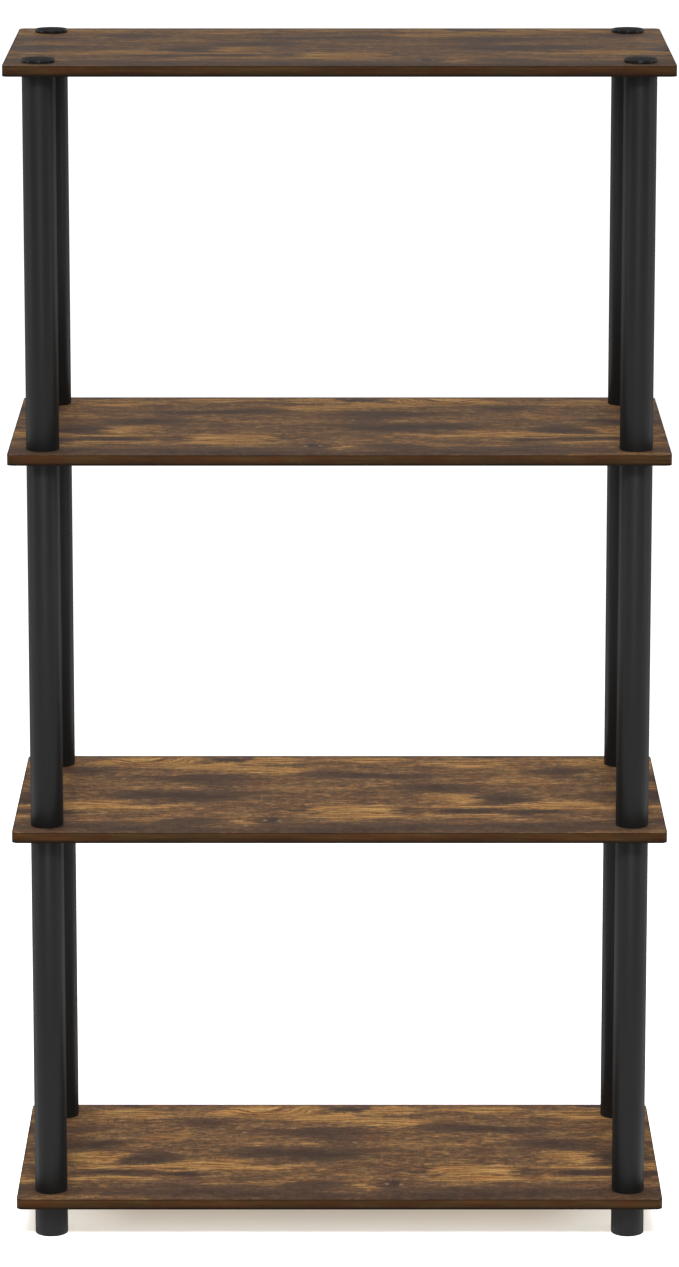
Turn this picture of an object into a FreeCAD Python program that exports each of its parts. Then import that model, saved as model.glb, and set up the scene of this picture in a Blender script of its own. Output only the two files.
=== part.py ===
import FreeCAD, Part
import os
import re
import Sketcher
from FreeCAD import Vector
from math import cos, pi, sin

# Shelving unit: four boards on screwed tubes, with caps on top and feet below.
# Millimetres. X is to the right, the front faces -Y, and the origin is on the floor, under the middle.

# Driving dimensions: name, value, meaning
DRIVING_SIZES = [
    ("unit_width", 599.4, "board with its edge tape, left to right"),
    ("unit_depth", 294.6, "board with its edge tape, front to back"),
    ("board_thickness", 9.5, "shelf board"),
    ("board_corner_radius", 6.0, "rounded corner in plan, outside the tape"),
    ("tape_thickness", 0.6, "edge tape round the board"),
    ("tape_edge_radius", 0.5, "rounded long edges of the tape"),
    ("hole_clearance", 0.5, "board hole round the stud, radial"),
    ("side_inset", 31.0, "tube axis from the end of the board"),
    ("front_inset", 31.0, "tube axis from the front and back of the board"),
    ("tube_length", 341.7, "clear height between two boards"),
    ("tube_diameter", 30.0, "tube, outside"),
    ("tube_wall", 1.5, "tube wall"),
    ("plug_fit", 0.1, "plug in the tube's bore, radial"),
    ("plug_length", 22.0, "stud plug inside the tube's end"),
    ("plug_edge_chamfer", 0.8, "lead-in at the plug's inner end"),
    ("plug_pocket_radius", 8.5, "moulding hollow in the stud plug"),
    ("plug_floor", 5.0, "solid floor between the hollow and the stud"),
    ("stud_length", 23.0, "threaded stud, from the board's upper face down"),
    ("stud_tip_chamfer", 1.0, "pointed tip of the stud"),
    ("stud_core_radius", 7.2, "stud at the bottom of its thread"),
    ("thread_pitch", 5.0, "rise of the thread in a turn"),
    ("thread_height", 1.3, "thread above the core"),
    ("thread_root_width", 2.0, "thread at its root"),
    ("thread_crest_width", 0.8, "thread at its crest"),
    ("thread_sink", 0.3, "thread's root inside the core"),
    ("thread_neck", 1.5, "plain length of stud under its shoulder and above its tip"),
    ("thread_clearance", 0.35, "stud in its socket"),
    ("socket_floor", 3.5, "solid floor under the threaded bore"),
    ("cap_diameter", 30.0, "cap disc"),
    ("cap_height", 3.8, "cap disc at its middle"),
    ("cap_crown", 0.4, "rise of the cap from its shoulder to its middle"),
    ("cap_edge_radius", 1.0, "rounded upper edge of the cap"),
    ("cap_flange_radius", 11.0, "flange of the cap stud, inside the cap"),
    ("cap_flange_height", 1.6, "flange of the cap stud"),
    ("foot_diameter", 30.4, "foot"),
    ("foot_height", 32.0, "foot, floor to board"),
    ("foot_sole_radius", 1.2, "rounded lower edge of the foot"),
    ("foot_rim_radius", 0.6, "rounded upper edge of the foot"),
    ("foot_socket_radius", 12.0, "threaded socket inside the foot"),
    ("turning_clearance", 0.3, "round the flange in the cap and the socket in the foot"),
]
CORNERS = {
    "front_left": (-1, -1),
    "front_right": (1, -1),
    "back_left": (-1, 1),
    "back_right": (1, 1),
}
SHELVES = ("bottom", "lower", "upper", "top")
STOREYS = ("lower", "middle", "upper")

doc = FreeCAD.newDocument("ShelvingUnit")
sheet = doc.addObject("Spreadsheet::Sheet", "Sizes")
for row, (alias, value, meaning) in enumerate(DRIVING_SIZES, start=1):
    sheet.set(f"A{row}", alias)
    sheet.set(f"B{row}", str(value))
    sheet.set(f"C{row}", meaning)
    sheet.setAlias(f"B{row}", alias)
doc.recompute()

# Sizes used by several pieces, worked out from the sheet
HALF_WIDTH = "unit_width / 2"
HALF_DEPTH = "unit_depth / 2"
TUBE_RADIUS = "tube_diameter / 2"
PLUG_RADIUS = "(tube_diameter / 2 - tube_wall - plug_fit)"
THREAD_RADIUS = "(stud_core_radius + thread_height)"
THREAD_FLANK = "(thread_root_width - thread_crest_width) / 2"
SOCKET_RADIUS = "(stud_core_radius + thread_clearance)"
SOCKET_DEPTH = "(stud_length - board_thickness + thread_pitch)"
SOCKET_LENGTH = f"({SOCKET_DEPTH} + socket_floor)"
STOREY_HEIGHT = "(board_thickness + tube_length)"

# The size at which a sketch starts, before its expressions set it
ROUGH = 1.0


def sized(text):
    """An expression whose words are the names of driving dimensions."""
    return re.sub(r"[a-z_]+", lambda word: "Sizes." + word.group(), text)


def bind(item, name, text):
    item.setExpression(name, sized(text))


def new_body(name):
    return doc.addObject("PartDesign::Body", name)


def new_sketch(body, name, plane):
    """A sketch on one of the body's own origin planes."""
    sketch = body.newObject("Sketcher::SketchObject", name)
    found = [item for item in body.Origin.OriginFeatures if item.Role == plane]
    sketch.AttachmentSupport = [(found[0], "")]
    sketch.MapMode = "FlatFace"
    return sketch


def place_point(sketch, line, end, across, along):
    """Bind a point of the sketch to two expressions, or to an axis where one is zero."""
    for kind, axis, text in (("DistanceX", -2, across), ("DistanceY", -1, along)):
        if text == "0":
            sketch.addConstraint(Sketcher.Constraint("PointOnObject", line, end, axis))
            continue
        index = sketch.addConstraint(Sketcher.Constraint(kind, -1, 1, line, end, ROUGH))
        name = f"{kind}_{line}"
        sketch.renameConstraint(index, name)
        bind(sketch, "Constraints." + name, text)


def add_outline(sketch, points):
    """A closed outline of straight lines through points given as expressions."""
    count = len(points)
    first = sketch.GeometryCount
    turns = [2 * pi * i / count for i in range(count)]
    spots = [Vector(ROUGH * cos(turn), ROUGH * sin(turn), 0) for turn in turns]
    for i in range(count):
        sketch.addGeometry(Part.LineSegment(spots[i], spots[(i + 1) % count]))
    for i in range(count):
        after = (i + 1) % count
        sketch.addConstraint(Sketcher.Constraint("Coincident", first + i, 2, first + after, 1))
        place_point(sketch, first + i, 1, *points[i])


def add_circle(sketch, across, along, radius):
    line = sketch.addGeometry(Part.Circle(Vector(), Vector(0, 0, 1), ROUGH))
    place_point(sketch, line, 3, across, along)
    index = sketch.addConstraint(Sketcher.Constraint("Radius", line, ROUGH))
    name = f"Radius_{line}"
    sketch.renameConstraint(index, name)
    bind(sketch, "Constraints." + name, radius)


def revolve(body, name, points):
    """A turned shape: its half outline, in radius and height, goes round the Z axis."""
    profile = new_sketch(body, name + "Profile", "XZ_Plane")
    add_outline(profile, points)
    turned = body.newObject("PartDesign::Revolution", name)
    turned.Profile = profile
    turned.ReferenceAxis = (profile, ["V_Axis"])
    turned.Angle = 360
    return turned


def sweep_thread(body, kind, name, points, turns):
    """A thread profile carried up a helix round the Z axis, added or cut."""
    profile = new_sketch(body, name + "Profile", "XZ_Plane")
    add_outline(profile, points)
    thread = body.newObject("PartDesign::" + kind, name)
    thread.Profile = profile
    thread.ReferenceAxis = (profile, ["V_Axis"])
    thread.Mode = "pitch-turns-angle"
    bind(thread, "Pitch", "thread_pitch")
    bind(thread, "Turns", turns)
    return thread


def round_edges(body, name, base, chosen, radius):
    """Fillet the edges of base that chosen picks by their shape and place."""
    doc.recompute()
    names = [f"Edge{i}" for i, edge in enumerate(base.Shape.Edges, start=1) if chosen(edge)]
    fillet = body.newObject("PartDesign::Fillet", name)
    fillet.Base = (base, names)
    bind(fillet, "Radius", radius)
    return fillet


def is_upright(edge):
    low, high = edge.BoundBox.ZMin, edge.BoundBox.ZMax
    return edge.BoundBox.XLength < (high - low) / 2 and edge.BoundBox.YLength < (high - low) / 2


def is_level(edge):
    return edge.BoundBox.ZLength < slack


def is_level_at(height, reach):
    """True of edges that lie at a height and come as far from the middle as reach."""

    def test(edge):
        box = edge.BoundBox
        furthest = max(abs(box.XMin), abs(box.XMax), abs(box.YMin), abs(box.YMax))
        same_height = abs(box.ZMin - height) < slack and abs(box.ZMax - height) < slack
        return same_height and furthest > reach - slack

    return test


def size(text):
    return float(getattr(sheet, text))


# How far an edge may lie from where it is looked for
slack = size("board_thickness") / 500


def corner_place(side, face):
    """Expressions for the place of a tube's axis in plan."""
    return f"{side} * ({HALF_WIDTH} - side_inset)", f"{face} * ({HALF_DEPTH} - front_inset)"


def make_panel(name, reach_x, reach_y, radius):
    """A flat panel with rounded corners: its body, and the feature that rounds them."""
    body = new_body(name)
    outline = new_sketch(body, name + "Outline", "XY_Plane")
    turns = ((-1, -1), (1, -1), (1, 1), (-1, 1))
    add_outline(outline, [(f"{x} * ({reach_x})", f"{y} * ({reach_y})") for x, y in turns])
    panel = body.newObject("PartDesign::Pad", name + "Pad")
    panel.Profile = outline
    bind(panel, "Length", "board_thickness")
    return body, round_edges(body, name + "Corners", panel, is_upright, radius)


def make_core(name):
    """The panel inside the edge tape."""
    reach_x = f"{HALF_WIDTH} - tape_thickness"
    reach_y = f"{HALF_DEPTH} - tape_thickness"
    return make_panel(name, reach_x, reach_y, "board_corner_radius - tape_thickness")[0]


# Board: the panel inside its tape, with a stud hole at each corner
def make_board():
    body = make_core("BoardPattern")
    holes = new_sketch(body, "HoleCentres", "XY_Plane")
    for side, face in CORNERS.values():
        across, along = corner_place(side, face)
        add_circle(holes, across, along, f"{THREAD_RADIUS} + hole_clearance")
    drilled = body.newObject("PartDesign::Pocket", "StudHoles")
    drilled.Profile = holes
    drilled.Reversed = True
    bind(drilled, "Length", "board_thickness")
    return body


# Edge tape: a thin band round the board, with its long outer edges rounded
def make_tape():
    block, corners = make_panel("TapeBlock", HALF_WIDTH, HALF_DEPTH, "board_corner_radius")
    round_edges(block, "TapeEdges", corners, is_level, "tape_edge_radius")
    tape = doc.addObject("Part::Cut", "TapePattern")
    tape.Base = block
    tape.Tool = make_core("TapeCore")
    return tape


# Tube: a plain round tube, open at both ends
def make_tube():
    body = new_body("TubePattern")
    bore = f"{TUBE_RADIUS} - tube_wall"
    revolve(body, "TubeWall", [
        (bore, "0"),
        (TUBE_RADIUS, "0"),
        (TUBE_RADIUS, "tube_length"),
        (bore, "tube_length"),
    ])
    return body


def add_stud_thread(body):
    """The ridge on a stud that hangs down from height zero."""
    start = "-stud_length + thread_neck"
    sweep_thread(body, "AdditiveHelix", "StudThread", [
        ("stud_core_radius - thread_sink", start),
        (THREAD_RADIUS, f"{start} + {THREAD_FLANK}"),
        (THREAD_RADIUS, f"{start} + {THREAD_FLANK} + thread_crest_width"),
        ("stud_core_radius - thread_sink", f"{start} + thread_root_width"),
    ], "(stud_length - 2 * thread_neck - thread_root_width) / thread_pitch")


def cut_socket_thread(body):
    """The groove in a socket whose mouth is at height zero, in step with a stud through the board."""
    start = "board_thickness - stud_length + thread_neck - thread_clearance - thread_pitch"
    top = f"{start} + 2 * thread_clearance + thread_root_width"
    sweep_thread(body, "SubtractiveHelix", "SocketThread", [
        (f"{SOCKET_RADIUS} - thread_sink", start),
        (f"{THREAD_RADIUS} + thread_clearance", f"{start} + {THREAD_FLANK}"),
        (f"{THREAD_RADIUS} + thread_clearance", f"{top} - {THREAD_FLANK}"),
        (f"{SOCKET_RADIUS} - thread_sink", top),
    ], f"1 - ({start}) / thread_pitch")


# Stud plug: sits in the lower end of a tube, its shoulder on the board and its stud through the hole
def make_stud_plug():
    body = new_body("StudPlugPattern")
    revolve(body, "StudPlugBody", [
        ("0", "-stud_length"),
        ("stud_core_radius - stud_tip_chamfer", "-stud_length"),
        ("stud_core_radius", "-stud_length + stud_tip_chamfer"),
        ("stud_core_radius", "0"),
        (PLUG_RADIUS, "0"),
        (PLUG_RADIUS, "plug_length - plug_edge_chamfer"),
        (f"{PLUG_RADIUS} - plug_edge_chamfer", "plug_length"),
        ("plug_pocket_radius", "plug_length"),
        ("plug_pocket_radius", "plug_floor"),
        ("0", "plug_floor"),
    ])
    add_stud_thread(body)
    return body


# Socket plug: sits in the upper end of a tube, flush with it, with its mouth under the board
def make_socket_plug():
    body = new_body("SocketPlugPattern")
    revolve(body, "SocketPlugBody", [
        ("0", f"-{SOCKET_LENGTH}"),
        (f"{PLUG_RADIUS} - plug_edge_chamfer", f"-{SOCKET_LENGTH}"),
        (PLUG_RADIUS, f"plug_edge_chamfer - {SOCKET_LENGTH}"),
        (PLUG_RADIUS, "0"),
        (SOCKET_RADIUS, "0"),
        (SOCKET_RADIUS, f"-{SOCKET_DEPTH}"),
        ("0", f"-{SOCKET_DEPTH}"),
    ])
    cut_socket_thread(body)
    return body


# Cap: a low disc on the top board, hollow below for the flange of its stud
def make_cap():
    body = new_body("CapPattern")
    pocket = "cap_flange_radius + turning_clearance"
    disc = revolve(body, "CapDisc", [
        ("0", "cap_flange_height"),
        (pocket, "cap_flange_height"),
        (pocket, "0"),
        ("cap_diameter / 2", "0"),
        ("cap_diameter / 2", "cap_height - cap_crown"),
        ("0", "cap_height"),
    ])
    shoulder = is_level_at(size("cap_height") - size("cap_crown"), size("cap_diameter") / 2)
    round_edges(body, "CapEdge", disc, shoulder, "cap_edge_radius")
    return body


# Cap stud: a threaded stud with a flange that the cap covers
def make_cap_stud():
    body = new_body("CapStudPattern")
    revolve(body, "CapStudBody", [
        ("0", "-stud_length"),
        ("stud_core_radius - stud_tip_chamfer", "-stud_length"),
        ("stud_core_radius", "-stud_length + stud_tip_chamfer"),
        ("stud_core_radius", "0"),
        ("cap_flange_radius", "0"),
        ("cap_flange_radius", "cap_flange_height"),
        ("0", "cap_flange_height"),
    ])
    add_stud_thread(body)
    return body


# Foot: a round cup under the bottom board, its upper rim at height zero
def make_foot():
    body = new_body("FootPattern")
    bore = "foot_socket_radius + turning_clearance"
    cup = revolve(body, "FootCup", [
        ("0", "-foot_height"),
        ("foot_diameter / 2", "-foot_height"),
        ("foot_diameter / 2", "0"),
        (bore, "0"),
        (bore, f"-{SOCKET_LENGTH}"),
        ("0", f"-{SOCKET_LENGTH}"),
    ])
    sole = is_level_at(-size("foot_height"), size("foot_diameter") / 2)
    rounded = round_edges(body, "FootSole", cup, sole, "foot_sole_radius")
    rim = is_level_at(0, size("foot_diameter") / 2)
    round_edges(body, "FootRim", rounded, rim, "foot_rim_radius")
    return body


# Foot socket: the threaded insert that stands in the foot
def make_foot_socket():
    body = new_body("FootSocketPattern")
    revolve(body, "FootSocketBody", [
        ("0", f"-{SOCKET_LENGTH}"),
        ("foot_socket_radius", f"-{SOCKET_LENGTH}"),
        ("foot_socket_radius", "0"),
        (SOCKET_RADIUS, "0"),
        (SOCKET_RADIUS, f"-{SOCKET_DEPTH}"),
        ("0", f"-{SOCKET_DEPTH}"),
    ])
    cut_socket_thread(body)
    return body


def put(pattern, label, across, along, height):
    """A piece of the unit: a body that takes the pattern's shape, at its own place."""
    body = new_body("Piece")
    body.BaseFeature = pattern
    body.Label = label
    bind(body, "Placement.Base.x", across)
    bind(body, "Placement.Base.y", along)
    bind(body, "Placement.Base.z", height)
    return body


def shelf_underside(level):
    return f"foot_height + {level} * {STOREY_HEIGHT}"


def shelf_top(level):
    return f"{shelf_underside(level)} + board_thickness"


board = make_board()
tape = make_tape()
tube = make_tube()
stud_plug = make_stud_plug()
socket_plug = make_socket_plug()
cap = make_cap()
cap_stud = make_cap_stud()
foot = make_foot()
foot_socket = make_foot_socket()
doc.recompute()

pieces = []
for level, shelf in enumerate(SHELVES):
    pieces.append(put(board, f"{shelf}_shelf_board", "0", "0", shelf_underside(level)))
    pieces.append(put(tape, f"{shelf}_shelf_edge_tape", "0", "0", shelf_underside(level)))
for corner, (side, face) in CORNERS.items():
    across, along = corner_place(side, face)
    for level, storey in enumerate(STOREYS):
        name = f"{corner}_{storey}_tube"
        pieces.append(put(tube, name, across, along, shelf_top(level)))
        pieces.append(put(stud_plug, name + "_stud_plug", across, along, shelf_top(level)))
        pieces.append(put(socket_plug, name + "_socket_plug", across, along, shelf_underside(level + 1)))
    pieces.append(put(cap, f"{corner}_cap", across, along, shelf_top(len(STOREYS))))
    pieces.append(put(cap_stud, f"{corner}_cap_stud", across, along, shelf_top(len(STOREYS))))
    pieces.append(put(foot, f"{corner}_foot", across, along, "foot_height"))
    pieces.append(put(foot_socket, f"{corner}_foot_socket", across, along, "foot_height"))
doc.recompute()

for item in doc.Objects:
    if "Invalid" in item.State or "Error" in item.State:
        raise RuntimeError(f"{item.Label} did not build: {item.State}")
for piece in pieces:
    if piece.Shape.isNull() or not piece.Shape.isValid() or len(piece.Shape.Solids) != 1:
        raise RuntimeError(f"{piece.Label} is not one valid solid")

os.makedirs("parts", exist_ok=True)
for piece in pieces:
    piece.Shape.exportStep(os.path.join("parts", piece.Label + ".step"))
print(len(pieces), "pieces")
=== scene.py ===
from math import radians

import bmesh
import bpy
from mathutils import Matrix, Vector


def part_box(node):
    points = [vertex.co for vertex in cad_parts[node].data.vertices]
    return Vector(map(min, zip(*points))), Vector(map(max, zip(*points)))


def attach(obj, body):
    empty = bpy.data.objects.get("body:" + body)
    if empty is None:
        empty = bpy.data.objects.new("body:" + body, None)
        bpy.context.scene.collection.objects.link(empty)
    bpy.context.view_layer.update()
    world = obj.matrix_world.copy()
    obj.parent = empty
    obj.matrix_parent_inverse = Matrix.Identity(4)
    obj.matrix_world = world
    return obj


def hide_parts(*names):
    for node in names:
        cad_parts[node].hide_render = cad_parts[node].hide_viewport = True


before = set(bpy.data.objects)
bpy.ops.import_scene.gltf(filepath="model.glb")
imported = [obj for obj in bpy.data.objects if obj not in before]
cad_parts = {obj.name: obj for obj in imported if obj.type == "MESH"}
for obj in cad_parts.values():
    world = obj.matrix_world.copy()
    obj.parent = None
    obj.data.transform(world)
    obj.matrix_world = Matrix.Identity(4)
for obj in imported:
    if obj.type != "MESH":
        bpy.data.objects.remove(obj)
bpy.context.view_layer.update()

# Shelf boards: four thin chipboard panels, faced above and below with a foil that is printed
# as dark rustic wood. Each has rounded corners and four round holes for the tubes' studs. All
# the foil comes off one roll: its print lies shifted from board to board, and mirrored on two.
BOARD_CORNER_RADIUS = 0.0054
BOARD_RIM = 0.00012
CORNER_STEPS = 10
RIM_STEPS = 2
STUD_HOLE_RADIUS = 0.009
HOLE_SIDES = 48
DRILL_LENGTH_IN_BOARDS = 4
SMOOTH_ANGLE = radians(30)
NEARLY_STRAIGHT = 0.99
CORNERS = ("front_left", "front_right", "back_left", "back_right")


def middle_of(name):
    """The middle of a CAD node at rest."""
    low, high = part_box(name)
    return (low + high) / 2


def only(piece):
    """Select one object alone and make it the active one."""
    bpy.ops.object.select_all(action="DESELECT")
    piece.select_set(True)
    bpy.context.view_layer.objects.active = piece


def name_piece(name):
    """Give the new object its name, its size and place going into its mesh."""
    piece = bpy.context.object
    bpy.ops.object.transform_apply(location=True, rotation=True, scale=True)
    piece.name = name
    piece.data.name = name
    return piece


def pick(piece, kind, test):
    """Select the edges or faces of the piece in edit mode that pass a test."""
    bpy.ops.mesh.select_mode(type=kind)
    bpy.ops.mesh.select_all(action="DESELECT")
    shape = bmesh.from_edit_mesh(piece.data)
    shape.normal_update()
    for part in shape.edges if kind == "EDGE" else shape.faces:
        if test(part):
            part.select_set(True)
    bmesh.update_edit_mesh(piece.data)


def is_upright(edge):
    low, high = edge.verts[0].co, edge.verts[1].co
    return abs((high - low).normalized().z) > NEARLY_STRAIGHT


def faces_level(face):
    return abs(face.normal.z) > NEARLY_STRAIGHT


def round_block(name, low, high, radius):
    """A flat block between two corners, its upright edges rounded, left in edit mode."""
    bpy.ops.object.select_all(action="DESELECT")
    bpy.ops.mesh.primitive_cube_add(size=1, location=(low + high) / 2, scale=high - low)
    block = name_piece(name)
    bpy.ops.object.mode_set(mode="EDIT")
    pick(block, "EDGE", is_upright)
    bpy.ops.mesh.bevel(offset=radius, offset_type="OFFSET", segments=CORNER_STEPS, affect="EDGES")
    return block


def apply_all(piece):
    """Apply the modifiers of a piece in their order."""
    only(piece)
    for modifier in [m.name for m in piece.modifiers]:
        bpy.ops.object.modifier_apply(modifier=modifier)


def smooth(piece, angle):
    """Shade a piece smooth, except over edges that turn by more than an angle."""
    only(piece)
    bpy.ops.object.shade_smooth_by_angle(angle=angle)


def finish_faces(piece, materials, chooser):
    """Give each face the material whose number chooser returns."""
    piece.data.materials.clear()
    for material in materials:
        piece.data.materials.append(material)
    for face in piece.data.polygons:
        face.material_index = chooser(face)


def copy_piece(master, name, shift):
    """A copy of a finished piece with its own mesh, moved in that mesh."""
    only(master)
    bpy.ops.object.duplicate(linked=False)
    bpy.ops.transform.translate(value=shift)
    return name_piece(name)


def make_board(name):
    """A board with rounded corners, a fine rim and a hole at the foot of each tube."""
    low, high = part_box(name)
    board = round_block(name + "_panel", low, high, BOARD_CORNER_RADIUS)
    pick(board, "FACE", faces_level)
    bpy.ops.mesh.region_to_loop()
    bpy.ops.mesh.bevel(offset=BOARD_RIM, segments=RIM_STEPS, affect="EDGES")
    bpy.ops.object.mode_set(mode="OBJECT")
    for corner in CORNERS:
        place = middle_of(f"{corner}_lower_tube")
        place.z = (low.z + high.z) / 2
        depth = DRILL_LENGTH_IN_BOARDS * (high - low).z
        bpy.ops.object.select_all(action="DESELECT")
        bpy.ops.mesh.primitive_cylinder_add(
            vertices=HOLE_SIDES, radius=STUD_HOLE_RADIUS, depth=depth, location=place)
        drill = name_piece(f"{corner}_drill")
        only(board)
        bpy.ops.object.modifier_add(type="BOOLEAN")
        board.modifiers[-1].object = drill
        board.modifiers[-1].operation = "DIFFERENCE"
        apply_all(board)
        bpy.data.objects.remove(drill)
    smooth(board, SMOOTH_ANGLE)
    return board


# Each board, which way the print runs on it, and where its knot falls, in metres from the middle
BOARD_PRINTS = {
    "bottom_shelf_board": (1, 0.081),
    "lower_shelf_board": (1, -0.032),
    "upper_shelf_board": (-1, -0.054),
    "top_shelf_board": (-1, 0.048),
}
FOIL_MAP = "foil"
MILLIMETRE = 0.001

# The print repeats along its roll, and the boards show no more of it than from start to end.
# Places on it are in millimetres: from the knot, along the grain, and from the board's front edge.
# A mark is full in its core and gone at its rim, both given as shares of its reach.
PRINT_REPEAT = 448
PRINT_START = -400
PRINT_END = 370
MARK_CORE = 0.2
MARK_RIM = 1.25
FOIL_GLOSS = 0.15
FOIL_RELIEF = 0.00006

# The marks: the middle along and across the grain, the reach each way, and the strength. These
# bare the gold wood, or stain it where they are negative, from how bare it is all over.
BARE_ALL_OVER = 0.36
BARE_AND_STAINED = (
    (-34, 235, 34, 14, 1.00),
    (-86, 250, 42, 14, 0.80),
    (-146, 270, 62, 21, 0.62),
    (-30, 273, 30, 16, 0.65),
    (66, 277, 42, 11, 0.55),
    (166, 262, 60, 24, 0.30),
    (-196, 98, 88, 11, 0.82),
    (-206, 111, 46, 8, 0.55),
    (150, 98, 34, 7, 0.62),
    (150, 63, 46, 6, 0.66),
    (44, 84, 46, 20, 0.95),
    (56, 60, 54, 9, 0.66),
    (140, 127, 32, 22, 0.62),
    (-56, 41, 18, 10, 0.40),
    (-146, 50, 22, 6, 0.36),
    (-130, 170, 60, 10, 0.22),
    (10, 165, 60, 16, 0.18),
    (-250, 190, 40, 16, 0.20),
    (-103, 205, 72, 15, -0.40),
    (-88, 178, 24, 24, -0.24),
    (-121, 142, 74, 17, -0.46),
    (-98, 126, 44, 12, -0.30),
    (186, 126, 38, 24, -0.46),
    (128, 166, 44, 18, -0.40),
    (40, 219, 60, 12, -0.34),
    (84, 212, 60, 11, -0.30),
    (-206, 230, 36, 14, -0.36),
    (-71, 279, 20, 11, -0.62),
    (168, 289, 24, 6, -0.50),
    (-106, 45, 38, 14, -0.34),
    (149, 81, 36, 11, -0.46),
    (-231, 77, 38, 9, -0.50),
    (-31, 48, 16, 13, -0.40),
    (90, 84, 12, 13, -0.40),
    (60, 26, 110, 18, -0.34),
    (-200, 24, 130, 20, -0.36),
    (0, 8, 260, 15, -0.30),
    (0, 150, 224, 52, -0.05),
)

# A swirl's strength is how far it pushes the grain aside, in millimetres
SWIRLS = (
    (-150, 262, 40, 28, 12),
    (-100, 283, 26, 16, -9),
    (0, 84, 22, 24, 9),
    (-231, 76, 34, 20, 7),
    (-31, 44, 24, 16, 8),
    (58, 152, 40, 24, 7),
    (-263, 126, 36, 26, -8),
)

# The strength of a knot or of a pale chip is the share of its own colour in the print
KNOTS = (
    (0, 92, 6, 13, 0.9),
    (-5, 82, 11, 4, 0.7),
    (-31, 50, 10, 5, 0.8),
    (-231, 76, 9, 5, 0.7),
    (-140, 118, 3, 3, 0.8),
    (60, 150, 8, 5, 0.5),
    (-166, 262, 4, 9, 0.7),
)
PALE_CHIPS = (
    (-271, 202, 3, 2.5, 0.45),
    (-173, 204, 3, 2.5, 0.55),
    (-66, 173, 3, 2.5, 0.55),
    (-1, 68, 6, 2.5, 0.45),
    (-37, 46, 2.5, 3.5, 0.60),
    (-23, 45, 3, 3.5, 0.55),
    (-240, 143, 4, 2, 0.35),
    (64, 176, 7, 2, 0.25),
)


def lay_foil(board, front, hand, knot):
    """Lay the print on a board: its map is in metres from the knot and from the front edge."""
    foil = board.data.uv_layers.new(name=FOIL_MAP)
    for loop in board.data.loops:
        spot = board.data.vertices[loop.vertex_index].co
        foil.data[loop.index].uv = (hand * (spot.x - knot), spot.y - front)


def colour(red, green, blue):
    """A colour in linear light from its plain 0 to 255 screen values."""
    shares = [value / 255 for value in (red, green, blue)]
    linear = [s / 12.92 if s <= 0.04045 else ((s + 0.055) / 1.055) ** 2.4 for s in shares]
    return (*linear, 1.0)


def new_material(name):
    """A material, and the shader that carries its finish."""
    material = bpy.data.materials.new(name)
    material.use_nodes = True
    return material, material.node_tree, material.node_tree.nodes["Principled BSDF"]


def node(tree, kind, inputs, **settings):
    """Add a shader node. Each input is a value or another node's output."""
    made = tree.nodes.new("ShaderNode" + kind)
    for name, value in settings.items():
        setattr(made, name, value)
    for name, value in inputs.items():
        if isinstance(value, bpy.types.NodeSocket):
            tree.links.new(value, made.inputs[name])
        else:
            made.inputs[name].default_value = value
    return made


def sums(tree, operation, *values):
    """The result of one sum of a Math node."""
    return node(tree, "Math", dict(enumerate(values)), operation=operation).outputs[0]


def centred(tree, noise):
    """A noise that varies about zero in place of a half."""
    return sums(tree, "SUBTRACT", noise, 0.5)


def vectors(tree, operation, *values):
    """The result of one sum of a Vector Math node, for each axis of a place or colour."""
    return node(tree, "VectorMath", dict(enumerate(values)), operation=operation).outputs[0]


def toned(tree, shade, tone):
    """A colour made darker or lighter by a tone, where one leaves it as it is."""
    return vectors(tree, "MULTIPLY", shade, tone)


def distance(tree, place):
    """How far a place is from the origin."""
    return node(tree, "VectorMath", {0: place}, operation="LENGTH").outputs["Value"]


def between(tree, value, low, high, first=0.0, last=1.0, kind="LINEAR"):
    """A value carried from one range to another, and held at its ends."""
    inputs = {"Value": value, "From Min": low, "From Max": high, "To Min": first, "To Max": last}
    return node(tree, "MapRange", inputs, interpolation_type=kind).outputs[0]


def varied(tree, noise, first, last):
    """A noise carried to another range, from the range in which most of it lies."""
    return between(tree, noise, 0.3, 0.7, first, last)


def mixed(tree, share, first, second, way="MIX"):
    """Two colours mixed by a share."""
    inputs = {0: share, 6: first, 7: second}
    return node(tree, "Mix", inputs, data_type="RGBA", blend_type=way).outputs[2]


def ramp(tree, value, stops):
    """Colours at shares of a value's range."""
    made = node(tree, "ValToRGB", {"Fac": value})
    elements = made.color_ramp.elements
    elements[0].position, elements[0].color = stops[0]
    elements[1].position, elements[1].color = stops[-1]
    for place, shade in stops[1:-1]:
        elements.new(place).color = shade
    return made.outputs[0]


def streaks(tree, where, sizes, seed, detail=3.0, roughness=0.55):
    """Noise whose marks have the given sizes in metres along X, Y and Z."""
    inputs = {"Vector": where, "Location": (seed, seed, seed), "Scale": [1 / size for size in sizes]}
    placed = node(tree, "Mapping", inputs).outputs[0]
    inputs = {"Vector": placed, "Scale": 1.0, "Detail": detail, "Roughness": roughness}
    return node(tree, "TexNoise", inputs).outputs[0]


def moved_by(tree, where, noise, amount):
    """Places pushed to and fro by a noise, by up to about half of an amount for each axis."""
    push = vectors(tree, "MULTIPLY", centred(tree, noise), amount)
    return vectors(tree, "ADD", where, push)


def closeness(tree, where, middle, reach):
    """One at a place on the print, fading to zero round its reach, both in millimetres."""
    scale = [1 / (side * MILLIMETRE) for side in reach] + [0]
    shift = [-place / side for place, side in zip(middle, reach)] + [0]
    far = distance(tree, vectors(tree, "MULTIPLY_ADD", where, scale, shift))
    return between(tree, far, MARK_RIM, MARK_CORE, kind="SMOOTHSTEP")


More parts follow.
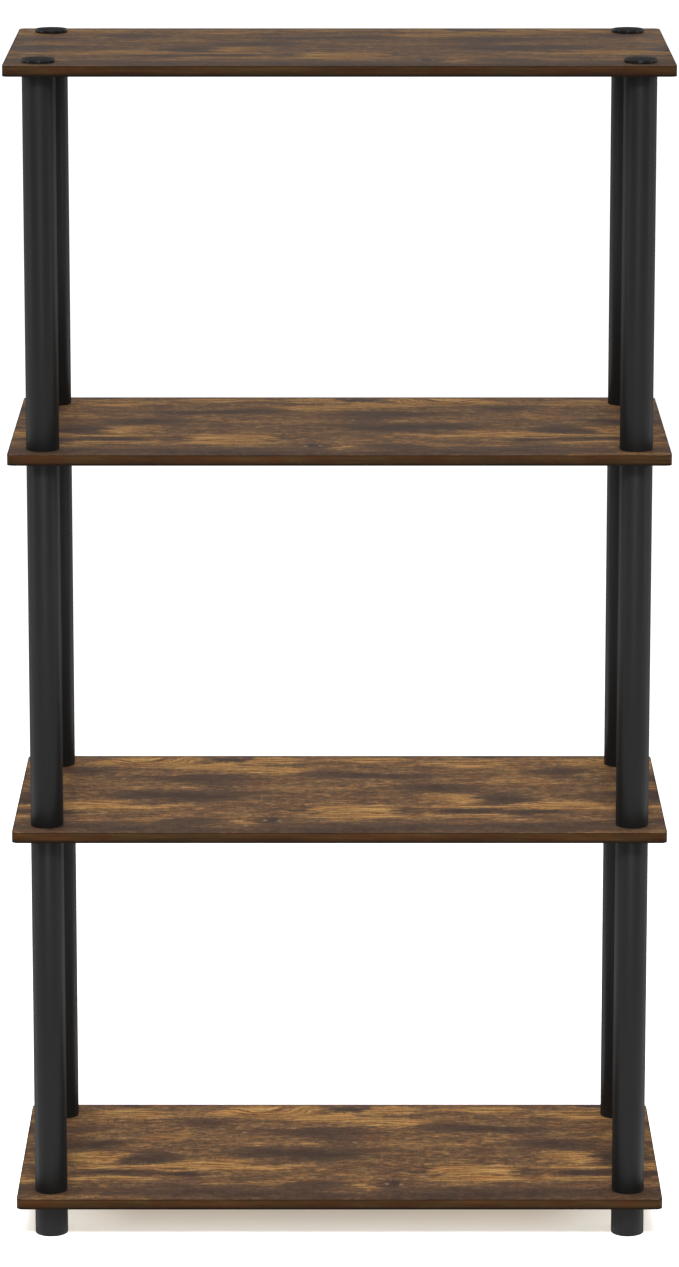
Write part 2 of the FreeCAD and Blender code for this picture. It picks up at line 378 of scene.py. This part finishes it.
def add_marks(tree, where, marks, tone):
    """Add marks of the print to a tone, on every repeat that falls on a board."""
    for along, across, reach, width, change in marks:
        for middle in (along - PRINT_REPEAT, along, along + PRINT_REPEAT):
            if PRINT_START < middle < PRINT_END:
                near = closeness(tree, where, (middle, across), (reach, width))
                tone = sums(tree, "MULTIPLY_ADD", near, change, tone)
    return tone


def roughen(tree, shader, height, depth):
    """Relief on a surface, as deep as given in metres."""
    inputs = {"Height": height, "Distance": depth, "Strength": 1.0}
    tree.links.new(node(tree, "Bump", inputs).outputs[0], shader.inputs["Normal"])


def make_foil():
    """Satin foil: a fine grain under a stain, with cracks, knots and pale chips."""
    material, tree, shader = new_material("printed_wood_foil")
    where = node(tree, "UVMap", {}, uv_map=FOIL_MAP).outputs[0]

    # Grain: fine growth lines that wander, and flow round the knots
    wander = streaks(tree, where, (0.13, 0.05, 1), seed=3, detail=2)
    grain = moved_by(tree, where, wander, (0.02, 0.026, 0))
    ripple = streaks(tree, where, (0.016, 0.009, 1), seed=11, detail=4)
    grain = moved_by(tree, grain, ripple, (0.006, 0.0085, 0))
    swirl = sums(tree, "MULTIPLY", add_marks(tree, where, SWIRLS, 0.0), MILLIMETRE)
    grain = vectors(tree, "ADD", grain, node(tree, "CombineXYZ", {"Y": swirl}).outputs[0])
    lines = streaks(tree, grain, (0.045, 0.0034, 1), seed=47, detail=4, roughness=0.6)
    fine = streaks(tree, grain, (0.006, 0.0011, 1), seed=59, detail=4, roughness=0.66)
    wood = ramp(tree, between(tree, lines, 0.35, 0.65), (
        (0.00, colour(98, 69, 42)),
        (0.30, colour(140, 102, 60)),
        (0.60, colour(180, 137, 79)),
        (1.00, colour(210, 169, 105)),
    ))

    # Stain: grey and brown clouds with ragged ends, which leave the gold wood bare in patches
    finger = streaks(tree, where, (0.024, 0.0034, 1), seed=23, detail=5, roughness=0.68)
    spot = moved_by(tree, where, finger, (0.070, 0.012, 0))
    drift = streaks(tree, where, (0.045, 0.025, 1), seed=27, detail=4)
    spot = moved_by(tree, spot, drift, (0.05, 0.026, 0))
    bare = add_marks(tree, spot, BARE_AND_STAINED, BARE_ALL_OVER)
    cloud = streaks(tree, where, (0.042, 0.018, 1), seed=31, detail=6, roughness=0.66)
    mottle = streaks(tree, grain, (0.0085, 0.0045, 1), seed=37, detail=5, roughness=0.66)
    for layer, share in ((cloud, 1.0), (mottle, 1.15), (fine, 0.30)):
        bare = sums(tree, "MULTIPLY_ADD", centred(tree, layer), share, bare)
    shade = sums(tree, "MULTIPLY_ADD", centred(tree, lines), 0.45, bare)
    stain = ramp(tree, between(tree, shade, -0.15, 0.6), (
        (0.00, colour(63, 47, 37)),
        (0.40, colour(86, 65, 48)),
        (0.75, colour(112, 84, 59)),
        (1.00, colour(130, 96, 63)),
    ))
    bareness = between(tree, bare, 0.24, 0.78, kind="SMOOTHSTEP")
    print_colour = mixed(tree, bareness, stain, wood)

    # Reddish brown clouds, faint saw marks across the grain, and a tone of its own for each line
    reddish = streaks(tree, spot, (0.035, 0.012, 1), seed=97, detail=4)
    reddish = between(tree, reddish, 0.45, 0.68, 0.0, 0.8)
    print_colour = mixed(tree, reddish, print_colour, colour(250, 224, 214), "MULTIPLY")
    sawn = streaks(tree, where, (0.0026, 0.014, 1), seed=71, detail=2)
    tone = sums(tree, "MULTIPLY", varied(tree, sawn, 0.88, 1.12), varied(tree, fine, 0.84, 1.16))
    print_colour = toned(tree, print_colour, tone)

    # Dark cracks along the grain in some places, and dark knots
    crack = streaks(tree, grain, (0.020, 0.0046, 1), seed=83, detail=4, roughness=0.55)
    crack = between(tree, sums(tree, "ABSOLUTE", centred(tree, crack)), 0.0, 0.022, 1.0, 0.0)
    cracked = streaks(tree, where, (0.025, 0.012, 1), seed=89)
    cracked = between(tree, cracked, 0.42, 0.56, 0.0, 0.8)
    dark = add_marks(tree, spot, KNOTS, sums(tree, "MULTIPLY", crack, cracked))
    print_colour = mixed(tree, dark, print_colour, colour(54, 43, 36))

    # Small pale chips near the knots
    ragged = moved_by(tree, where, finger, (0.012, 0.006, 0))
    chip = add_marks(tree, ragged, PALE_CHIPS, 0.0)
    print_colour = mixed(tree, chip, print_colour, colour(186, 156, 118))

    tree.links.new(print_colour, shader.inputs["Base Color"])
    tree.links.new(varied(tree, fine, 0.76, 0.86), shader.inputs["Roughness"])
    shader.inputs["Specular IOR Level"].default_value = FOIL_GLOSS
    height = sums(tree, "SUBTRACT", fine, sums(tree, "MULTIPLY", crack, 0.5))
    roughen(tree, shader, height, FOIL_RELIEF)
    return material


# Raw chipboard shows only in the holes
CHIPS_IN_A_METRE = 700.0
CHIP_ROUGHNESS = 0.85
CHIP_RELIEF = 0.0003


def make_chipboard():
    """Small pressed chips, each with its own shade."""
    material, tree, shader = new_material("raw_chipboard")
    where = node(tree, "TexCoord", {}).outputs["Object"]
    chips = node(tree, "TexVoronoi", {"Vector": where, "Scale": CHIPS_IN_A_METRE}, feature="F1")
    shade = node(tree, "SeparateColor", {0: chips.outputs["Color"]}).outputs[0]
    chip_colour = ramp(tree, shade, (
        (0.0, colour(120, 92, 62)),
        (0.6, colour(164, 132, 94)),
        (1.0, colour(190, 160, 120)),
    ))
    tree.links.new(chip_colour, shader.inputs["Base Color"])
    shader.inputs["Roughness"].default_value = CHIP_ROUGHNESS
    roughen(tree, shader, chips.outputs["Distance"], CHIP_RELIEF)
    return material


# The foil covers what turns up or down by more than this, and the rest is bare chipboard
FOILED_TURN = 0.3
first_board = make_board("bottom_shelf_board")
board_materials = (make_foil(), make_chipboard())
finish_faces(first_board, board_materials, lambda face: 0 if abs(face.normal.z) > FOILED_TURN else 1)
for name, (hand, knot) in BOARD_PRINTS.items():
    shift = middle_of(name) - middle_of("bottom_shelf_board")
    board = copy_piece(first_board, name + "_faced", shift)
    lay_foil(board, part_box(name)[0].y, hand, knot)
    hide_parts(name)
    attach(board, "root")
bpy.data.objects.remove(first_board)

# Edge tapes: a thin brown plastic band glued round each board, its long edges scraped flush with
# the foil. The scraped edges are darker than its face, a fine dark line round the board's top.
TAPE_THICKNESS = 0.0006
TAPE_CORNER_RADIUS = 0.006
TAPE_RELIEF = 0.00004

# The tape's painted shade and seam: from and up to which height over the board's underside, and the tone
# at each.
# Its lower edge is darkened as painted shade, its face is painted lighter upwards as painted shading, and
# it is dark again just under the foil along the scraped seam.
TAPE_PAINTED_SHADE_AND_SEAM = (
    (0.0010, 0.0034, 0.20, 1.00, "SMOOTHSTEP"),
    (0.0000, 0.0095, 0.64, 1.20, "LINEAR"),
    (0.0084, 0.0091, 1.00, 0.40, "SMOOTHSTEP"),
)
TAPE_MARGIN = 0.01
SHELF_PITCH = (middle_of("lower_shelf_board") - middle_of("bottom_shelf_board")).z


def duller_edge_on(tree, gain):
    """Roughness to add where a surface turns away, so that its rim stays dark."""
    edge_on = node(tree, "LayerWeight", {"Blend": 0.5}).outputs["Facing"]
    return between(tree, edge_on, 0.5, 0.95, 0.0, gain)


def make_tape_finish(name, light, dark, roughness, gloss):
    """Brown tape, mottled along its length, with painted shade along its lower edge and painted shading
    up its face. These repeat from board to board.
    """
    material, tree, shader = new_material(name)
    where = node(tree, "TexCoord", {}).outputs["Object"]
    soft = streaks(tree, where, (0.06, 0.06, 0.004), seed=5, detail=4)
    fine = streaks(tree, where, (0.02, 0.02, 0.0006), seed=7, detail=3)
    mottle = sums(tree, "MULTIPLY_ADD", centred(tree, fine), 0.5, soft)
    shade = ramp(tree, between(tree, mottle, 0.32, 0.68), ((0.0, dark), (1.0, light)))
    reddish = streaks(tree, where, (0.05, 0.05, 0.02), seed=9, detail=2)
    reddish = between(tree, reddish, 0.42, 0.58, 0.0, 0.8)
    shade = mixed(tree, reddish, shade, colour(255, 218, 206), "MULTIPLY")
    level = node(tree, "SeparateXYZ", {0: where}).outputs["Z"]
    level = sums(tree, "SUBTRACT", level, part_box("bottom_shelf_board")[0].z)
    level = sums(tree, "WRAP", level, SHELF_PITCH - TAPE_MARGIN, -TAPE_MARGIN)
    # Painted shade: darker along the tape's lower edge and lighter up its face; dark just under the foil
    # for the scraped seam
    for low, high, first, last, kind in TAPE_PAINTED_SHADE_AND_SEAM:
        shade = toned(tree, shade, between(tree, level, low, high, first, last, kind))
    tree.links.new(shade, shader.inputs["Base Color"])
    rough = varied(tree, fine, roughness - 0.05, roughness + 0.05)
    rough = sums(tree, "ADD", rough, duller_edge_on(tree, 0.3))
    tree.links.new(rough, shader.inputs["Roughness"])
    shader.inputs["Specular IOR Level"].default_value = gloss
    roughen(tree, shader, fine, TAPE_RELIEF)
    return material


def make_tape(name):
    """A thin upright band round a board, open above and below."""
    low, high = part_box(name)
    tape = round_block(name + "_band", low, high, TAPE_CORNER_RADIUS)
    pick(tape, "FACE", faces_level)
    bpy.ops.mesh.inset(thickness=TAPE_THICKNESS, depth=0, use_even_offset=True)
    bpy.ops.mesh.bridge_edge_loops()
    bpy.ops.object.mode_set(mode="OBJECT")
    smooth(tape, SMOOTH_ANGLE)
    return tape


tape_materials = (
    make_tape_finish(
        "edge_tape_face", light=colour(76, 54, 28), dark=colour(54, 37, 18), roughness=0.6, gloss=0.08),
    make_tape_finish(
        "edge_tape_scraped", light=colour(26, 18, 12), dark=colour(18, 13, 8), roughness=0.9, gloss=0.03),
)
first_tape = make_tape("bottom_shelf_edge_tape")
finish_faces(first_tape, tape_materials, lambda face: 1 if faces_level(face) else 0)
for board_name in BOARD_PRINTS:
    name = board_name.replace("_board", "_edge_tape")
    shift = middle_of(name) - middle_of("bottom_shelf_edge_tape")
    tape = copy_piece(first_tape, name + "_glued", shift)
    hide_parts(name)
    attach(tape, "root")
bpy.data.objects.remove(first_tape)

# Tubes: twelve lengths of extruded black plastic tube between the boards, cut square with a
# small chamfer at each rim. Each is clamped between two boards by the studs in its ends.
ROUND_SIDES = 96
TUBE_WALL = 0.0015
TUBE_RIM = 0.00035
RIM_ANGLE = radians(60)
PLASTIC_RELIEF = 0.00002
STOREYS = ("lower", "middle", "upper")


def make_plastic(name, base, roughness, lines, pits, gloss=0.15):
    """Black plastic: drawn lines run up an extruded piece, and fine pits cover a moulded one."""
    material, tree, shader = new_material(name)
    where = node(tree, "TexCoord", {}).outputs["Object"]
    cloud = streaks(tree, where, (0.05, 0.05, 0.12), seed=2, detail=3)
    drawn = streaks(tree, where, (0.0009, 0.0009, 0.4), seed=4, detail=2)
    pitted = streaks(tree, where, (0.0006, 0.0006, 0.0006), seed=6, detail=2)
    scuff = streaks(tree, where, (0.004, 0.004, 0.02), seed=8, detail=4)
    shade = toned(tree, base[:3], varied(tree, cloud, 0.88, 1.12))
    tree.links.new(shade, shader.inputs["Base Color"])
    rough = varied(tree, cloud, roughness - 0.03, roughness + 0.03)
    rough = sums(tree, "ADD", rough, between(tree, scuff, 0.58, 0.75, 0.0, 0.06))
    rough = sums(tree, "ADD", rough, duller_edge_on(tree, 0.5))
    tree.links.new(rough, shader.inputs["Roughness"])
    shader.inputs["Specular IOR Level"].default_value = gloss
    height = sums(tree, "MULTIPLY_ADD", drawn, lines, sums(tree, "MULTIPLY", pitted, pits))
    roughen(tree, shader, height, PLASTIC_RELIEF)
    return material


def add_round(name, centre, radius, depth, ends="NGON"):
    """A round bar, or an open band, standing on its end."""
    bpy.ops.object.select_all(action="DESELECT")
    bpy.ops.mesh.primitive_cylinder_add(
        vertices=ROUND_SIDES, radius=radius, depth=depth, end_fill_type=ends, location=centre)
    return name_piece(name)


def make_tube(name):
    """A length of tube, its wall inside the outer face and its rims chamfered."""
    low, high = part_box(name)
    tube = add_round(name + "_wall", (low + high) / 2, (high - low).x / 2, (high - low).z, "NOTHING")
    bpy.ops.object.modifier_add(type="SOLIDIFY")
    tube.modifiers[-1].thickness = TUBE_WALL
    tube.modifiers[-1].offset = -1
    bpy.ops.object.modifier_add(type="BEVEL")
    tube.modifiers[-1].width = TUBE_RIM
    tube.modifiers[-1].segments = RIM_STEPS
    tube.modifiers[-1].limit_method = "ANGLE"
    tube.modifiers[-1].angle_limit = RIM_ANGLE
    apply_all(tube)
    smooth(tube, SMOOTH_ANGLE)
    return tube


tube_plastic = make_plastic(
    "extruded_black_plastic", colour(24, 24, 24), roughness=0.42, lines=1.0, pits=0.3)
first_tube = make_tube("front_left_lower_tube")
finish_faces(first_tube, (tube_plastic,), lambda face: 0)
for corner in CORNERS:
    for storey in STOREYS:
        name = f"{corner}_{storey}_tube"
        shift = middle_of(name) - middle_of("front_left_lower_tube")
        tube = copy_piece(first_tube, name + "_drawn", shift)
        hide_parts(name)
        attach(tube, "root")
bpy.data.objects.remove(first_tube)

# Plugs and studs: black moulded plugs pressed into the tubes' ends, some with a threaded stud
# and some with a threaded bore, the cap studs, and the threaded sockets in the feet.
moulded_plastic = make_plastic(
    "moulded_black_plastic", colour(28, 28, 28), roughness=0.5, lines=0.0, pits=1.0)
for name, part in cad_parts.items():
    if name.endswith(("_plug", "_stud", "_socket")):
        for place in part.material_slots:
            place.material = moulded_plastic

# Caps: low round discs of moulded black plastic on the top board, one over each tube. Each has a
# finely textured, very slightly domed top with a rounded edge, and covers the flange of its stud.
CAP_SHOULDER = 0.0033
CAP_EDGE_RADIUS = 0.0010
CAP_POCKET_RADIUS = 0.0113
CAP_POCKET_DEPTH = 0.0016
DOME_RINGS = 6
DOME_REACH = 0.98
ROUNDED_STEPS = 6
ROUNDED_ANGLE = radians(35)
BORE_DRAFT = 0.00002
CAP_TOP_TURN = 0.8


def faces_up(face):
    return face.normal.z > NEARLY_STRAIGHT


def faces_down(face):
    return face.normal.z < -NEARLY_STRAIGHT


def round_rim(piece, test, radius, steps):
    """Round the rim of one end of a round piece, where the end's face passes a test."""
    pick(piece, "FACE", test)
    bpy.ops.mesh.region_to_loop()
    bpy.ops.mesh.bevel(offset=radius, segments=steps, affect="EDGES")


def bore_end(piece, test, wall, depth):
    """Bore out one end of a round piece, where the end's face passes a test, inside a wall."""
    pick(piece, "FACE", test)
    bpy.ops.mesh.inset(thickness=wall, depth=0)
    bpy.ops.mesh.inset(thickness=BORE_DRAFT, depth=-depth)


def raise_rings(rise, reach, rings):
    """Inset the selected top again and again, each ring higher, into a low dome."""
    for ring in range(rings):
        start, end = ring / rings, (ring + 1) / rings
        gain = rise * ((1 - (1 - end) ** 2) - (1 - (1 - start) ** 2))
        bpy.ops.mesh.inset(thickness=reach / rings * DOME_REACH, depth=gain)


def make_cap(name):
    """A low disc with a pocket beneath, a rounded edge and a slightly domed top."""
    low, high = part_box(name)
    radius = (high - low).x / 2
    centre = Vector(((low.x + high.x) / 2, (low.y + high.y) / 2, low.z + CAP_SHOULDER / 2))
    cap = add_round(name + "_disc", centre, radius, CAP_SHOULDER)
    bpy.ops.object.mode_set(mode="EDIT")
    bore_end(cap, faces_down, radius - CAP_POCKET_RADIUS, CAP_POCKET_DEPTH)
    round_rim(cap, faces_up, CAP_EDGE_RADIUS, ROUNDED_STEPS)
    pick(cap, "FACE", lambda face: faces_up(face) and len(face.verts) == ROUND_SIDES)
    raise_rings(high.z - low.z - CAP_SHOULDER, radius - CAP_EDGE_RADIUS, DOME_RINGS)
    bpy.ops.object.mode_set(mode="OBJECT")
    smooth(cap, ROUNDED_ANGLE)
    return cap


# The top is matt and the side polished, and besides that the side's near-black is painted shade and the
# top's lighter grey is painted light
cap_materials = (
    make_plastic(
        "cap_side_painted_shade_plastic", colour(8, 8, 8), roughness=0.26, lines=0.0, pits=0.3, gloss=0.22),
    make_plastic(
        "cap_top_painted_light_plastic", colour(30, 30, 29), roughness=0.65, lines=0.0, pits=1.0, gloss=0.12),
)
first_cap = make_cap("front_left_cap")
finish_faces(first_cap, cap_materials, lambda face: 1 if face.normal.z > CAP_TOP_TURN else 0)
for corner in CORNERS:
    name = corner + "_cap"
    cap = copy_piece(first_cap, name + "_moulded", middle_of(name) - middle_of("front_left_cap"))
    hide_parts(name)
    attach(cap, name)
bpy.data.objects.remove(first_cap)

# Feet: round moulded cups under the bottom board, a little wider than the tubes. The sole's
# edge is rounded, and a threaded socket stands inside.
SOLE_RADIUS = 0.0012
FOOT_RIM_RADIUS = 0.0006
FOOT_RIM_STEPS = 4
FOOT_BORE_RADIUS = 0.0123
FOOT_BORE_DEPTH = 0.022


def make_foot(name):
    """A cup with a rounded sole, bored from above for the socket."""
    low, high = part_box(name)
    radius = (high - low).x / 2
    foot = add_round(name + "_cup", (low + high) / 2, radius, (high - low).z)
    bpy.ops.object.mode_set(mode="EDIT")
    round_rim(foot, faces_up, FOOT_RIM_RADIUS, FOOT_RIM_STEPS)
    round_rim(foot, faces_down, SOLE_RADIUS, ROUNDED_STEPS)
    bore_end(foot, faces_up, radius - FOOT_RIM_RADIUS - FOOT_BORE_RADIUS, FOOT_BORE_DEPTH)
    bpy.ops.object.mode_set(mode="OBJECT")
    smooth(foot, ROUNDED_ANGLE)
    return foot


foot_plastic = make_plastic(
    "foot_black_plastic", colour(27, 27, 27), roughness=0.46, lines=0.0, pits=1.0)
first_foot = make_foot("front_left_foot")
finish_faces(first_foot, (foot_plastic,), lambda face: 0)
for corner in CORNERS:
    name = corner + "_foot"
    foot = copy_piece(first_foot, name + "_moulded", middle_of(name) - middle_of("front_left_foot"))
    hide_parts(name)
    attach(foot, name)
bpy.data.objects.remove(first_foot)

# Floor and surroundings: a wide white floor under a white studio. The camera and mirror-like
# reflections see plain white, the floor keeps the unit's cast shadow, and a warm painted shadow is tinted
# into it under the unit.
FLOOR_SIZE = 80.0
FLOOR_GREY = (0.9, 0.9, 0.9, 1)
FLOOR_ROUGHNESS = 0.9
WHITE = (1, 1, 1, 1)
PAINTED_SHADOW_MIDDLE = (0, 0.05, 0)

# Painted shadows, a wide one and a deeper one in its middle: half its size, how far its rim fades, and
# its tint
PAINTED_SHADOWS = (
    ((0.285, 0.160, 1), 0.02, (0.62, 0.585, 0.515, 1)),
    ((0.180, 0.100, 1), 0.08, (0.68, 0.63, 0.58, 1)),
)

# The studio's light on the unit, from near the horizon and from high up, and the rise of a ray,
# from 0 for level to 1 for upright, between which it goes from the one to the other
LOW_LIGHT = 0.45
HIGH_LIGHT = 0.10
LOW_RISE = 0.1
HIGH_RISE = 0.8


def seen_directly(tree):
    """One for rays that come from the camera, a glossy surface or through a clear one."""
    path = node(tree, "LightPath", {})
    kinds = [path.outputs[f"Is {kind} Ray"] for kind in ("Camera", "Glossy", "Transmission")]
    return sums(tree, "MAXIMUM", sums(tree, "MAXIMUM", kinds[0], kinds[1]), kinds[2])


def with_painted_shadow(tree, light, half, fade, tint):
    """A floor's light tinted by a painted shadow inside an oblong under the unit, with a soft rim round
    it.
    """
    where = node(tree, "TexCoord", {}).outputs["Object"]
    where = vectors(tree, "SUBTRACT", where, PAINTED_SHADOW_MIDDLE)
    where = vectors(tree, "SUBTRACT", vectors(tree, "ABSOLUTE", where), half)
    where = vectors(tree, "MAXIMUM", where, (0, 0, 0))
    away = between(tree, distance(tree, where), 0.0, fade, kind="SMOOTHSTEP")
    return mixed(tree, 1.0, light, mixed(tree, away, tint, WHITE), "MULTIPLY")


bpy.ops.object.select_all(action="DESELECT")
bpy.ops.mesh.primitive_plane_add(size=FLOOR_SIZE)
floor = name_piece("studio_floor")
floor_paint, tree, shader = new_material("white_floor_paint")
shader.inputs["Base Color"].default_value = FLOOR_GREY
shader.inputs["Roughness"].default_value = FLOOR_ROUGHNESS
shader.inputs["Specular IOR Level"].default_value = 0.0
# The floor's white, with the warm painted shadows tinted into it under the unit
light = WHITE
for half, fade, tint in PAINTED_SHADOWS:
    light = with_painted_shadow(tree, light, half, fade, tint)
tree.links.new(light, shader.inputs["Emission Color"])
tree.links.new(seen_directly(tree), shader.inputs["Emission Strength"])
floor.data.materials.append(floor_paint)

studio = bpy.data.worlds.new("white_studio")
studio.use_nodes = True
bpy.context.scene.world = studio
tree = studio.node_tree
heading = node(tree, "TexCoord", {}).outputs["Generated"]
rise = node(tree, "SeparateXYZ", {0: heading}).outputs["Z"]
ambient = between(tree, rise, LOW_RISE, HIGH_RISE, LOW_LIGHT, HIGH_LIGHT, "SMOOTHSTEP")
sky = tree.nodes["Background"]
sky.inputs["Color"].default_value = WHITE
tree.links.new(sums(tree, "MAXIMUM", seen_directly(tree), ambient), sky.inputs["Strength"])


# Lamps: a gridded softbox high in front, which reaches the lower boards more than the top one, a
# tall strip before the unit, and dim softboxes at its sides and behind it.
def add_softbox(name, place, target, width, height, power, spread=180):
    """A soft lamp that faces a target. A spread under 180 degrees is a grid on its front."""
    aim = (Vector(target) - Vector(place)).to_track_quat("-Z", "Y")
    bpy.ops.object.light_add(type="AREA", location=place, rotation=aim.to_euler())
    lamp = bpy.context.object
    lamp.name = name
    lamp.data.name = name
    lamp.data.shape = "RECTANGLE"
    lamp.data.size = width
    lamp.data.size_y = height
    lamp.data.energy = power
    lamp.data.spread = radians(spread)
    lamp.visible_camera = False


MIDDLE = (0, 0, 0.55)
LOWEST_BAY = (0, 0, 0.23)
add_softbox("key_softbox", (0, -2.5, 2.6), LOWEST_BAY, width=2.2, height=0.35, power=6.5, spread=36)
add_softbox("front_strip", (0, -3.2, 0.7), MIDDLE, width=0.22, height=1.6, power=18)
add_softbox("left_softbox", (-2.3, -0.6, 0.9), MIDDLE, width=0.35, height=1.8, power=9)
add_softbox("right_softbox", (2.3, -0.6, 0.9), MIDDLE, width=0.35, height=1.8, power=9)
add_softbox("back_softbox", (0, 2.4, 2.0), MIDDLE, width=1.4, height=0.8, power=6)

# Camera: in front of the unit and above its top, looking down a little, with a long lens. The
# tilt is in degrees, and the lens and the sensor are in millimetres.
CAMERA_PLACE = (0, -5.147, 1.70)
CAMERA_TILT = 12.63
CAMERA_LENS = 160.6
CAMERA_SENSOR = 36.0
CAMERA_SIGHT = 200.0
bpy.ops.object.camera_add(location=CAMERA_PLACE, rotation=(radians(90 - CAMERA_TILT), 0, 0))
camera = bpy.context.object
camera.name = "product_camera"
camera.data.sensor_width = CAMERA_SENSOR
camera.data.lens = CAMERA_LENS
camera.data.clip_end = CAMERA_SIGHT
bpy.context.scene.camera = camera
bpy.context.scene.view_settings.view_transform = "Standard"
